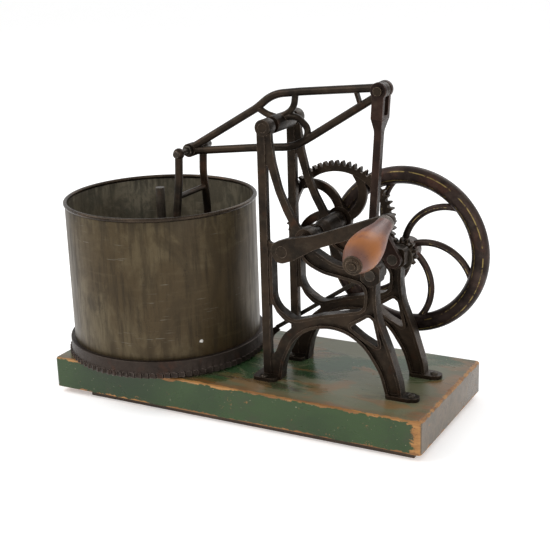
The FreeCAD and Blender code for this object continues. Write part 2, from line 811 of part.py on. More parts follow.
def crank_web(name, near, shaft_radius):
    """A round-ended cheek on a shaft, stopping short of the loose crank pin."""
    body = new_body(name)
    throw = float(d.crank_throw)
    half = float(d.crank_web_half)
    outline = flat([(-half - 1, -half - 1, half), (throw + half, -half, half),
                    (throw + half, half, half), (-half - 1, half + 1, half)])
    pad(body, "cheek", [outline], near, d.crank_web_thick)
    pocket(body, "hole", [ring_of(shaft_radius)], near, d.crank_web_thick)
    turn = Rotation(Vector(0, 1, 0), -float(d.crank_phase))
    return place(body, SHAFT_X, ZERO, SHAFT_Z, turn)


def flywheel():
    middle = float(d.flywheel_y)
    big = float(d.flywheel_radius)
    rim = Part.makeTorus(big, float(d.flywheel_rim_radius), Vector(0, middle, 0), Vector(0, 1, 0))
    length = float(d.flywheel_hub_length)
    hub = Part.makeCylinder(float(d.flywheel_hub_radius), length,
                            Vector(0, middle - length / 2, 0), Vector(0, 1, 0))
    wheel = rim.fuse(hub)
    points = [polar(9, 50), polar(big * 0.49, 11.4), polar(big - 3, -22)]
    start, bow, end = [Vector(point.x, middle, point.y) for point in points]
    arc = Part.Arc(start, bow, end)
    section = Part.Wire(Part.makeCircle(float(d.spoke_radius), start, arc.tangent(
        arc.FirstParameter)[0]))
    spoke = Part.Wire([arc.toShape()]).makePipeShell([section], True, True)
    spokes = []
    for index in range(6):
        copy = spoke.copy()
        copy.rotate(Vector(), Vector(0, 1, 0), 60 * index)
        spokes.append(copy)
    wheel = wheel.fuse(spokes)
    shaft_hole = Part.makeCylinder(float(d.flywheel_shaft_radius), length + 20,
                                   Vector(0, middle - length / 2 - 10, 0), Vector(0, 1, 0))
    wheel = wheel.cut(shaft_hole).removeSplitter()
    keep("flywheel", place(solid("wheel", wheel), SHAFT_X, ZERO, SHAFT_Z))


def flywheel_parts():
    shaft_end = d.flywheel_y + d.flywheel_hub_length / 2 + 3.5
    keep("flywheel_shaft", cylinder("shaft", d.flywheel_shaft_radius, shaft_end - REAR_WEB_Y,
                                    SHAFT_X, REAR_WEB_Y, SHAFT_Z))
    keep("rear_crank_web", crank_web("rear_cheek", REAR_WEB_Y, d.flywheel_shaft_radius))
    front_end = d.front_plane_y - d.boss_depth / 2 - 1.5
    keep("front_crank_web", crank_web("front_cheek", FRONT_WEB_Y, d.flywheel_shaft_radius))
    keep("front_crank_journal", cylinder(
        "journal", d.flywheel_shaft_radius, FRONT_WEB_Y + d.crank_web_thick - front_end,
        SHAFT_X, front_end, SHAFT_Z))
    pinion()
    flywheel()
    disc = cylinder("eccentric_disc", d.eccentric_radius, d.pawl_thick, SHAFT_X, PAWL_Y,
                    SHAFT_Z - d.eccentric_offset)
    hole = cylinder("eccentric_hole", d.flywheel_shaft_radius, d.pawl_thick, SHAFT_X, PAWL_Y,
                    SHAFT_Z)
    keep("pawl_eccentric", cut("eccentric", disc, hole))


def pawl():
    """A flat bar from the eccentric down to a hooked tip beside the ring's teeth."""
    ecc_x = float(SHAFT_X)
    ecc_z = float(SHAFT_Z - d.eccentric_offset)
    top = float(TOP)
    reach = float(d.ring_radius + d.ring_tooth_depth)
    y = float(PAWL_Y + d.pawl_thick / 2)
    play = float(d.eccentric_offset) + 1.2
    ring_edge = float(d.vat_x) + math.sqrt(reach ** 2 - (abs(y) - 3) ** 2)
    tip_x = ring_edge + play
    half = float(d.pawl_width) / 2
    body = new_body("pawl_bar")
    elbow = Vector(tip_x + 12, top + 28, 0)
    hub = Vector(ecc_x, ecc_z, 0)
    side = Vector(elbow.y - hub.y, hub.x - elbow.x, 0).normalize() * half
    bar = flat([(p.x, p.y) for p in (elbow - side, hub - side, hub + side, elbow + side)])
    eye = float(d.eccentric_radius)
    pad(body, "bar", [bar], PAWL_Y, d.pawl_thick)
    pad(body, "eye", [ring_of(eye + 4.5, ecc_x, ecc_z)], PAWL_Y, d.pawl_thick)
    pocket(body, "eye_hole", [ring_of(eye + float(d.running_fit), ecc_x, ecc_z)], PAWL_Y,
           d.pawl_thick)
    keep("pawl_rod", body)
    hook = new_body("hook")
    low = top + 5.5
    tip = flat([(tip_x, low + 0.5), (tip_x + 4, low), (tip_x + 10, top + 19, 8),
                (elbow.x + 6, elbow.y - 2), (elbow.x - 1, elbow.y + 3, 3),
                (tip_x + 4, top + 18, 8)])
    pad(hook, "claw", [tip], PAWL_Y - d.pawl_tip_thick, d.pawl_tip_thick)
    keep("pawl_tip", hook)


# ---- walking beam, fork and connecting rod ---------------------------------------------


def beam():
    """Two bowed rods between the end eyes, four curved arms to a middle hub."""
    radius = float(d.beam_rod_radius)
    left = -float(d.beam_left_reach)
    right = float(d.beam_right_reach)

    def at(u, v):
        return Vector(u, 0, v)

    top = tube([at(left, 1.5), at(-23, 22), at(1.7, 31), at(36, 24), at(right, 2.5)], radius, 60)
    low = tube([at(left, -1.5), at(-45, -18), at(7, -30.5), at(31, -25.4), at(right, -3)],
               radius, 60)
    arm = float(d.beam_arm_radius)
    arms = [
        tube([at(0, 4), at(21, 8.5), at(29.5, 26)], arm, 18),
        tube([at(0, 5), at(22, 0), at(31.5, -17), at(22, -28), at(8, -30.5)], arm, 13),
        tube([at(0, 4), at(-13, 12.5), at(-22, 22.5)], arm, 25),
        tube([at(0, -2), at(-19, -5), at(-30, -22)], arm, 20),
    ]
    rib = Part.makeBox(3.5, 6, 23, Vector(right - 30, -3, -12.5))
    across = Vector(0, 1, 0)

    def disc(u, disc_radius, length):
        return Part.makeCylinder(float(disc_radius), float(length),
                                 Vector(u, -float(length) / 2, 0), across)

    hub = disc(0, d.beam_hub_radius, d.beam_hub_length)
    eye = disc(left, d.beam_eye_radius, d.beam_eye_length)
    boss = disc(right, d.ear_radius - 0.5, d.beam_right_boss_length)
    shape = top.fuse([low, hub, eye, boss, rib] + arms)
    fit = d.running_fit
    shape = shape.cut([disc(0, d.pivot_radius + fit, 60), disc(left, d.fork_pin_radius + fit, 60),
                       disc(right, d.bolt_radius + fit, 60)])
    turn = Rotation(Vector(0, 1, 0), -float(d.beam_tilt))
    keep("walking_beam", place(solid("beam", shape), d.pivot_x, d.beam_y, PIVOT_Z, turn))


def chopper_fork():
    """An upside-down U of round bar that carries the blade down into the vat."""
    lean = float(d.fork_lean)
    drop = float(EYE_Z) - float(TOP + d.blade_bar_rise) - float(d.blade_bar_size)
    top_half = float(d.fork_top_half)
    low_half = float(d.fork_low_half)
    radius = float(d.fork_leg_radius)
    legs = []
    for side in (-1, 1):
        points = [Vector(0, side * top_half, 0), Vector(-lean * 0.4, side * top_half, -30),
                  Vector(-lean * 0.7, side * low_half, -75), Vector(-lean, side * low_half, -drop)]
        legs.append(tube(points, radius, 80))
        legs.append(Part.makeSphere(radius + 2, points[0]))
    cross = float(d.fork_cross_drop)
    cross_x = -lean * 0.55
    legs.append(rod_between(Vector(cross_x, -top_half - 2, -cross),
                            Vector(cross_x, top_half + 2, -cross), float(d.fork_cross_radius)))
    shape = legs[0].fuse(legs[1:])
    pin_half = top_half + 14
    pin_radius = float(d.fork_pin_radius)
    across = Vector(0, 1, 0)
    pin = Part.makeCylinder(pin_radius, 2 * pin_half - 7, Vector(0, -pin_half + 7, 0), across)
    shape = shape.cut(pin)
    centre = (EYE_X, d.beam_y, EYE_Z)
    keep("chopper_fork", place(solid("fork", shape), *centre))
    keep("fork_pin", place(solid("pin", pin), *centre))
    inner = float(d.beam_eye_length) / 2 + float(d.end_play)
    collars = []
    for start in (inner, -inner - 4):
        ring = Part.makeCylinder(pin_radius + 2.2, 4, Vector(0, start, 0), across)
        collars.append(ring.cut(pin))
    keep("fork_collars", place(solid("collars", Part.makeCompound(collars)), *centre))
    bar_x = EYE_X - lean
    half = d.blade_half
    size = d.blade_bar_size
    bar_z = TOP + d.blade_bar_rise
    keep("blade_bar", box("stock", bar_x - size / 2, d.beam_y - half, bar_z, size, 2 * half, size))
    body = new_body("blade_plate")
    edge = float(TOP + d.blade_edge_rise)
    top_z = float(bar_z)
    thick = float(d.blade_thick) / 2
    x = float(bar_x)
    section = [(x - thick, top_z), (x - thick, edge + 9), (x - 0.2, edge), (x + 0.2, edge),
               (x + thick, edge + 9), (x + thick, top_z)]
    pad(body, "plate", [flat(section)], d.beam_y - half, half * 2)
    keep("chopping_blade", body)


def connecting_rod():
    """A forked top on the beam's end, a slim bar, and a sleeve on the crank pin."""
    length = math.hypot(float(ROD_X - PIN_X), float(ROD_Z - PIN_Z))
    lean = math.degrees(math.atan2(float(ROD_X - PIN_X), float(ROD_Z - PIN_Z)))
    ear = float(d.ear_radius)
    half_gap = float(d.clevis_gap) / 2
    half_head = d.clevis_gap / 2 + d.ear_thick
    outer = float(half_head)
    slot = float(d.clevis_slot_drop)
    half = float(d.rod_width) / 2
    body = new_body("rod_bar")
    pad(body, "face", [flat([(-6.5, 0), (-6.5, -slot - 4, 8), (-half, -slot - 16, 20),
                             (-half, -length), (half, -length), (half, -slot - 16, 20),
                             (6.5, -slot - 4, 8), (6.5, 0)])],
        -half_head, half_head * 2)
    pad(body, "ears", [ring_of(ear)], -half_head, half_head * 2)
    side = []
    for sign in (-1, 1):
        side.append(flat([(sign * (outer + 5), -slot - 3), (sign * outer, -slot - 3, 6),
                          (sign * 4, -slot - 19, 20), (sign * 4, -length - 20),
                          (sign * (outer + 5), -length - 20)]))
    gap = flat([(-half_gap, 30), (-half_gap, -slot, 3), (half_gap, -slot, 3), (half_gap, 30)])
    wide = d.big_end_length + 16
    near = -wide / 2
    cheek = body.newObject("PartDesign::Pocket", "slim_sides")
    cheek.Profile = draw(body, "side_sketch", side + [gap], "YZ_Plane", near + wide)
    cheek.setExpression("Length", text_of(wide))
    big_half = d.big_end_length / 2
    pad(body, "big_end", [ring_of(d.big_end_radius, 0, -length)], -big_half, d.big_end_length)
    pocket(body, "bolt_hole", [ring_of(d.bolt_radius)], near, wide)
    pocket(body, "pin_hole", [ring_of(d.crank_pin_radius, 0, -length)], near, wide)
    turn = Rotation(Vector(0, 1, 0), lean)
    keep("connecting_rod", place(body, ROD_X, d.beam_y, ROD_Z, turn))
    start = d.beam_y - half_head
    bolt = cylinder("bolt_shank", d.bolt_radius, half_head * 2, ROD_X, start, ROD_Z)
    head = cylinder("bolt_head", d.bolt_head_radius, d.bolt_head_height, ROD_X,
                    start - d.bolt_head_height, ROD_Z)
    tail = hexagon("bolt_nut", d.bolt_nut_radius, d.bolt_nut_height, ROD_X,
                   d.beam_y + half_head, ROD_Z)
    keep("rod_bolt", fuse("bolt", bolt, head, tail))
    near_end = FRONT_WEB_Y + d.crank_web_thick + d.end_play
    far_end = REAR_WEB_Y - d.end_play
    keep("crank_pin", cylinder("loose_pin", d.crank_pin_radius, far_end - near_end, PIN_X,
                               near_end, PIN_Z))


# ---- build, check and write ------------------------------------------------------------


def check_and_write():
    doc.recompute()
    for thing in doc.Objects:
        if {"Invalid", "Error"} & set(thing.State):
            raise RuntimeError(f"{thing.Label} failed: {thing.State}")
    for node, thing in parts.items():
        if thing.Shape.isNull() or not thing.Shape.isValid():
            raise RuntimeError(f"{node} has no valid shape")
        print(f"{node}: {len(thing.Shape.Solids)} solid(s), {thing.Shape.Volume:.1f} mm3")
    os.makedirs("parts", exist_ok=True)
    for node, thing in parts.items():
        thing.Shape.exportStep(f"parts/{node}.step")


base_board()
side_frame("side_frame_front", d.front_plane_y, front=True)
side_frame("side_frame_rear", d.rear_plane_y, front=False)
foot_screws()
beam_pivot()
centre_post()
turntable()
drive_gear()
crank_and_grip()
flywheel_parts()
pawl()
beam()
chopper_fork()
connecting_rod()
check_and_write()
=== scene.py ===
import json
import math

import bmesh
import bpy
from mathutils import Matrix, Vector


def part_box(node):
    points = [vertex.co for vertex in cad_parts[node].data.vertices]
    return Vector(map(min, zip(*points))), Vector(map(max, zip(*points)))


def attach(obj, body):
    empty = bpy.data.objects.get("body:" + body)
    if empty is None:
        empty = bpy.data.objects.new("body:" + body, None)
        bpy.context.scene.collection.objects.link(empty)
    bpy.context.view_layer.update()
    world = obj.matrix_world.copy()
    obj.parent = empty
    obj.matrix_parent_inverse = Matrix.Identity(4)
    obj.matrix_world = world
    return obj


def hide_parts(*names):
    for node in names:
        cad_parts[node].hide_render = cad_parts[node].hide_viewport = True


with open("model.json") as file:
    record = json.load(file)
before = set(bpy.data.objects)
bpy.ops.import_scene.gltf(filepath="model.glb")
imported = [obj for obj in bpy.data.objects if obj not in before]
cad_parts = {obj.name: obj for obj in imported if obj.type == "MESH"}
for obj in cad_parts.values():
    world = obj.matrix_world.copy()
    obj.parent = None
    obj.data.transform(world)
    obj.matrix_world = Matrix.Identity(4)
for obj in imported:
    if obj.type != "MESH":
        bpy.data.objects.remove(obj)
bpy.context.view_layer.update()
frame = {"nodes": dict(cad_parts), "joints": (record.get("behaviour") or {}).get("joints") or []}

# An old hand-cranked food chopper: painted board, dark iron castings, tin vat.
# Metres, in the frame's own axes.

NODES = frame["nodes"]
JOINTS = {joint["name"]: joint for joint in frame["joints"]}
MM = 0.001


# ---- node helpers ----------------------------------------------------------------------


def add(tree, kind, inputs=None, **settings):
    """Adds a node; inputs are sockets to link or plain values, by name or number."""
    node = tree.nodes.new(kind)
    for name, value in settings.items():
        setattr(node, name, value)
    for name, value in (inputs or {}).items():
        if isinstance(value, bpy.types.NodeSocket):
            tree.links.new(value, node.inputs[name])
        else:
            node.inputs[name].default_value = value
    return node


def noise(tree, vector, scale, detail=4.0, rough=0.55, warp=0.0):
    """Cloudy values about 0.5."""
    node = add(tree, "ShaderNodeTexNoise", {"Vector": vector, "Scale": scale, "Detail": detail,
                                            "Roughness": rough, "Distortion": warp})
    return node.outputs["Fac"]


def stretched(tree, vector, scale):
    """A place scaled by its own amount along X, Y and Z."""
    node = add(tree, "ShaderNodeMapping", {"Vector": vector, "Scale": scale})
    return node.outputs["Vector"]


def limit(tree, value, low, high, start=0.0, end=1.0):
    """Maps low..high of a value smoothly on to start..end."""
    node = add(tree, "ShaderNodeMapRange", {"Value": value, "From Min": low, "From Max": high,
                                            "To Min": start, "To Max": end},
               interpolation_type="SMOOTHSTEP")
    return node.outputs["Result"]


def maths(tree, operation, first, second=0.0):
    """One sum on two values."""
    node = add(tree, "ShaderNodeMath", {0: first, 1: second}, operation=operation)
    return node.outputs[0]


MIX_AMOUNT, MIX_FIRST, MIX_SECOND, MIX_RESULT = 0, 6, 7, 2


def blend(tree, amount, first, second):
    """Mixes two colours, each a socket or three numbers."""
    inputs = {MIX_AMOUNT: amount}
    for place, colour in ((MIX_FIRST, first), (MIX_SECOND, second)):
        linked = isinstance(colour, bpy.types.NodeSocket)
        inputs[place] = colour if linked else (*colour, 1.0)
    return add(tree, "ShaderNodeMix", inputs, data_type="RGBA").outputs[MIX_RESULT]


def bump(tree, height, strength, distance):
    """A normal that follows a height; distance is in metres."""
    node = add(tree, "ShaderNodeBump", {"Height": height, "Strength": strength,
                                        "Distance": distance})
    return node.outputs["Normal"]


def new_group(name, inputs, outputs):
    """A shader node group with (name, kind, default) inputs and (name, kind) outputs."""
    tree = bpy.data.node_groups.new(name, "ShaderNodeTree")
    for label, kind, default in inputs:
        socket = tree.interface.new_socket(label, in_out="INPUT", socket_type=kind)
        if default is not None:
            socket.default_value = default
    for label, kind in outputs:
        tree.interface.new_socket(label, in_out="OUTPUT", socket_type=kind)
    entry = tree.nodes.new("NodeGroupInput")
    return tree, entry.outputs, tree.nodes.new("NodeGroupOutput").inputs


def use(tree, group, inputs):
    """Places a node group with its own values and gives its outputs."""
    return add(tree, "ShaderNodeGroup", inputs, node_tree=group).outputs


FLOAT, VECTOR = "NodeSocketFloat", "NodeSocketVector"


def edge_wear_and_highlight_group():
    """A mask that is one on edges and nought on flat faces, for rubbed wear and a painted
    highlight.
    """
    tree, given, out = new_group(
        "Edge Wear And Highlight", [("Vector", VECTOR, None), ("Radius", FLOAT, 0.001),
                      ("Breakup", FLOAT, 300.0)], [("Mask", FLOAT)])
    rounded = add(tree, "ShaderNodeBevel", {"Radius": given["Radius"]}, samples=4)
    flat = add(tree, "ShaderNodeNewGeometry")
    dot = add(tree, "ShaderNodeVectorMath", {0: rounded.outputs[0], 1: flat.outputs["Normal"]},
              operation="DOT_PRODUCT")
    edge = limit(tree, dot.outputs["Value"], 0.995, 0.90)
    broken = noise(tree, given["Vector"], given["Breakup"], 5, 0.65)
    broken_edge = maths(tree, "MULTIPLY", edge, limit(tree, broken, 0.34, 0.56))
    tree.links.new(broken_edge, out["Mask"])
    return tree


def grime_group():
    """Broad patches, fine grain and small pits for any old surface."""
    tree, given, out = new_group(
        "Grime", [("Vector", VECTOR, None), ("Patch Scale", FLOAT, 12.0),
                  ("Grain Scale", FLOAT, 500.0)],
        [("Patches", FLOAT), ("Grain", FLOAT), ("Pits", FLOAT)])
    patches = noise(tree, given["Vector"], given["Patch Scale"], 6, 0.6, 0.4)
    grain = noise(tree, given["Vector"], given["Grain Scale"], 3, 0.6)
    cells = add(tree, "ShaderNodeTexVoronoi", {"Vector": given["Vector"], "Scale": 420.0},
                feature="F1")
    pits = limit(tree, cells.outputs["Distance"], 0.28, 0.08)
    thin = noise(tree, given["Vector"], 45.0, 3, 0.5)
    tree.links.new(limit(tree, patches, 0.32, 0.68), out["Patches"])
    tree.links.new(grain, out["Grain"])
    tree.links.new(maths(tree, "MULTIPLY", pits, limit(tree, thin, 0.5, 0.62)), out["Pits"])
    return tree


EDGE_WEAR_AND_HIGHLIGHT = edge_wear_and_highlight_group()
GRIME = grime_group()


def start_material(name):
    """A new material, its emptied tree and the piece's own coordinates."""
    material = bpy.data.materials.new(name)
    material.use_nodes = True
    tree = material.node_tree
    tree.nodes.clear()
    where = add(tree, "ShaderNodeTexCoord").outputs["Object"]
    return material, tree, where


def finish_material(material, tree, plain, linked):
    """Ends a material in one shader, with plain values set on its own sockets."""
    shader = add(tree, "ShaderNodeBsdfPrincipled", {**plain, **linked})
    add(tree, "ShaderNodeOutputMaterial", {"Surface": shader.outputs[0]})
    return material


# ---- finishes --------------------------------------------------------------------------


def joint_line(name):
    """A point on a joint's axis, and the axis."""
    joint = JOINTS[name]
    return Vector(joint["pos_m"]), Vector(joint["axis"]).normalized()


def vector_maths(tree, operation, first, second=None):
    """One sum on two vectors, as a node."""
    inputs = {0: first} if second is None else {0: first, 1: second}
    return add(tree, "ShaderNodeVectorMath", inputs, operation=operation)


def along_axis(tree, where, name):
    """Distance along a joint's axis from the joint's own point."""
    foot, axis = joint_line(name)
    offset = vector_maths(tree, "SUBTRACT", where, foot).outputs[0]
    return vector_maths(tree, "DOT_PRODUCT", offset, axis).outputs["Value"]


def away_from_axis(tree, where, name):
    """Distance out from a joint's axis."""
    foot, axis = joint_line(name)
    offset = vector_maths(tree, "SUBTRACT", where, foot).outputs[0]
    across = vector_maths(tree, "CROSS_PRODUCT", offset, axis).outputs[0]
    return vector_maths(tree, "LENGTH", across).outputs["Value"]


def parts_of(tree, where):
    """The X, Y and Z of a place."""
    split = add(tree, "ShaderNodeSeparateXYZ", {"Vector": where})
    return [split.outputs[axis] for axis in "XYZ"]


def band(tree, value, middle, half, soft):
    """One inside a narrow band of a value, nought outside it."""
    offset = maths(tree, "ABSOLUTE", maths(tree, "SUBTRACT", value, middle))
    return limit(tree, offset, half + soft, max(0.0, half - soft))


# How much edges are lightened: partly rubbed wear, partly a painted highlight.
EDGE_WEAR_AND_HIGHLIGHT_GAIN = 4.2
PIT_BLACK = (0.008, 0.006, 0.005)


def iron(name, dark, brown, dust, metallic=0.8, shine=0.38, wear_and_highlight_amount=0.75, stripe=None):
    """Old japanned cast iron: near-black with brown patina, dust, and rubbed edges lightened
    further as a painted highlight.
    """
    material, tree, where = start_material(name)
    grime = use(tree, GRIME, {"Vector": where, "Patch Scale": 26.0, "Grain Scale": 900.0})
    wear_and_highlight_mask = use(tree, EDGE_WEAR_AND_HIGHLIGHT, {"Vector": where, "Radius": 0.0009, "Breakup": 210.0})["Mask"]
    colour = blend(tree, grime["Patches"], dark, brown)
    dusty = limit(tree, noise(tree, where, 62.0, 5, 0.7), 0.50, 0.74, 0.0, 0.5)
    colour = blend(tree, dusty, colour, dust)
    rusty = limit(tree, noise(tree, where, 34.0, 6, 0.65, 0.5), 0.56, 0.70, 0.0, 0.45)
    rust = [part * change for part, change in zip(brown, (1.7, 1.05, 0.8))]
    colour = blend(tree, rusty, colour, rust)
    colour = blend(tree, maths(tree, "MULTIPLY", grime["Pits"], 0.6), colour, PIT_BLACK)
    # Edges lightened: partly rubbed wear, partly a painted highlight along them.
    colour = blend(tree, maths(tree, "MULTIPLY", wear_and_highlight_mask, wear_and_highlight_amount), colour,
                   [min(1.0, EDGE_WEAR_AND_HIGHLIGHT_GAIN * (part + 0.012)) for part in brown])
    if stripe:
        colour = stripe(tree, where, colour)
    rough = limit(tree, grime["Grain"], 0.25, 0.75, shine - 0.10, shine + 0.14)
    rough = maths(tree, "ADD", rough, maths(tree, "MULTIPLY", dusty, 0.25))
    height = maths(tree, "ADD", grime["Grain"], maths(tree, "MULTIPLY", grime["Patches"], 1.6))
    normal = bump(tree, height, 0.38, 0.0006)
    return finish_material(material, tree, {"Metallic": metallic, "Specular IOR Level": 0.35},
                           {"Base Color": colour, "Roughness": rough, "Normal": normal})


LINE_HALF_WIDTH, LINE_SOFTNESS = 0.0005, 0.0002
OLD_GOLD = (0.30, 0.22, 0.075)


def rim_line(tree, where, colour):
    """Two thin gold lines, mostly rubbed away, round the wheel's front."""
    away = away_from_axis(tree, where, "flywheel_turn")
    inner, outer = WHEEL_RADIUS - 0.0046, WHEEL_RADIUS + 0.0052
    lines = maths(tree, "MAXIMUM", band(tree, away, inner, LINE_HALF_WIDTH, LINE_SOFTNESS),
                  band(tree, away, outer, LINE_HALF_WIDTH, LINE_SOFTNESS))
    depth = parts_of(tree, where)[1]
    front = limit(tree, depth, WHEEL_MIDDLE - 0.002, WHEEL_MIDDLE - 0.004)
    left = limit(tree, noise(tree, where, 95.0, 6, 0.72), 0.44, 0.56)
    amount = maths(tree, "MULTIPLY", maths(tree, "MULTIPLY", lines, front), left)
    return blend(tree, maths(tree, "MULTIPLY", amount, 0.75), colour, OLD_GOLD)


def scratches(tree, where, turn, shift):
    """Fine straight scratches running one way."""
    node = add(tree, "ShaderNodeMapping", {
        "Vector": where, "Rotation": turn, "Location": (shift, shift * 0.7, 0),
        "Scale": (26, 26, 420)})
    return limit(tree, noise(tree, node.outputs["Vector"], 1.0, 3, 0.55), 0.665, 0.72)


def tin(name, low, mid, high, chip):
    """Dull tinplate: blotched olive brown, crossed by faint streaks, stains and scratches."""
    material, tree, where = start_material(name)
    grime = use(tree, GRIME, {"Vector": where, "Patch Scale": 17.0, "Grain Scale": 700.0})
    upright = noise(tree, stretched(tree, where, (150, 150, 16)), 1.0, 6, 0.65)
    level = noise(tree, stretched(tree, where, (20, 20, 190)), 1.0, 5, 0.65)
    cloud = noise(tree, where, 9.0, 7, 0.66, 0.5)
    mottle = noise(tree, stretched(tree, where, (48, 48, 36)), 1.0, 6, 0.68, 0.4)
    colour = blend(tree, limit(tree, cloud, 0.40, 0.60), mid, high)
    colour = blend(tree, limit(tree, mottle, 0.46, 0.62, 0.0, 0.65), colour, mid)
    colour = blend(tree, limit(tree, upright, 0.44, 0.68, 0.0, 0.70), colour, low)
    colour = blend(tree, limit(tree, level, 0.52, 0.74, 0.0, 0.30), colour, high)
    stain = noise(tree, stretched(tree, where, (22, 22, 11)), 1.0, 6, 0.62, 1.2)
    colour = blend(tree, limit(tree, stain, 0.50, 0.62, 0.0, 0.7), colour,
                   (0.034, 0.0225, 0.0095))
    away = away_from_axis(tree, where, "turntable_turn")
    inner = limit(tree, away, VAT_RADIUS - 0.0008, VAT_RADIUS - 0.0012)
    pale = blend(tree, limit(tree, mottle, 0.40, 0.60), (0.074, 0.066, 0.046),
                 (0.150, 0.130, 0.090))
    pale = blend(tree, limit(tree, upright, 0.44, 0.64, 0.0, 0.6), pale, (0.045, 0.042, 0.028))
    colour = blend(tree, inner, colour, pale)
    colour = blend(tree, maths(tree, "MULTIPLY", grime["Patches"], 0.30), colour,
                   (0.070, 0.047, 0.022))
    line = maths(tree, "MAXIMUM", scratches(tree, where, (0.9, 0.5, 0.2), 3.1),
                 scratches(tree, where, (-0.8, 1.1, 0.4), 7.7))
    line = maths(tree, "MAXIMUM", line, scratches(tree, where, (1.4, 0.2, 0.9), 5.3))
    line = maths(tree, "MULTIPLY", line, limit(tree, noise(tree, where, 17.0, 3), 0.50, 0.62))
    colour = blend(tree, maths(tree, "MULTIPLY", line, 0.45), colour, (0.20, 0.18, 0.14))
    colour = blend(tree, maths(tree, "MULTIPLY", grime["Pits"], 0.7), colour,
                   (0.018, 0.013, 0.009))
    # Darker towards the vat's foot and just under its top, broken up by the upright streaks.
    height = parts_of(tree, where)[2]
    foot = limit(tree, height, VAT_FOOT + 0.026, VAT_FOOT + 0.004, 0.0, 0.5)
    brow = limit(tree, height, VAT_TOP - 0.016, VAT_TOP - 0.003, 0.0, 0.45)
    streak_break = limit(tree, upright, 0.35, 0.6)
    colour = blend(tree, maths(tree, "MULTIPLY", maths(tree, "MAXIMUM", foot, brow), streak_break),
                   colour, low)
    gap = vector_maths(tree, "DISTANCE", where, chip).outputs["Value"]
    ragged = maths(tree, "ADD", gap, maths(tree, "MULTIPLY", noise(tree, where, 420.0, 3), 0.004))
    colour = blend(tree, limit(tree, ragged, 0.0044, 0.0036), colour, (0.72, 0.70, 0.66))
    rough = limit(tree, upright, 0.3, 0.7, 0.36, 0.54)
    relief = maths(tree, "ADD", maths(tree, "MULTIPLY", upright, 0.4),
                   maths(tree, "MULTIPLY", cloud, 2.2))
    relief = maths(tree, "SUBTRACT", relief, maths(tree, "MULTIPLY", line, 0.5))
    normal = bump(tree, relief, 0.30, 0.0008)
    return finish_material(material, tree, {"Metallic": 0.5, "Specular IOR Level": 0.35},
                           {"Base Color": colour, "Roughness": rough, "Normal": normal})


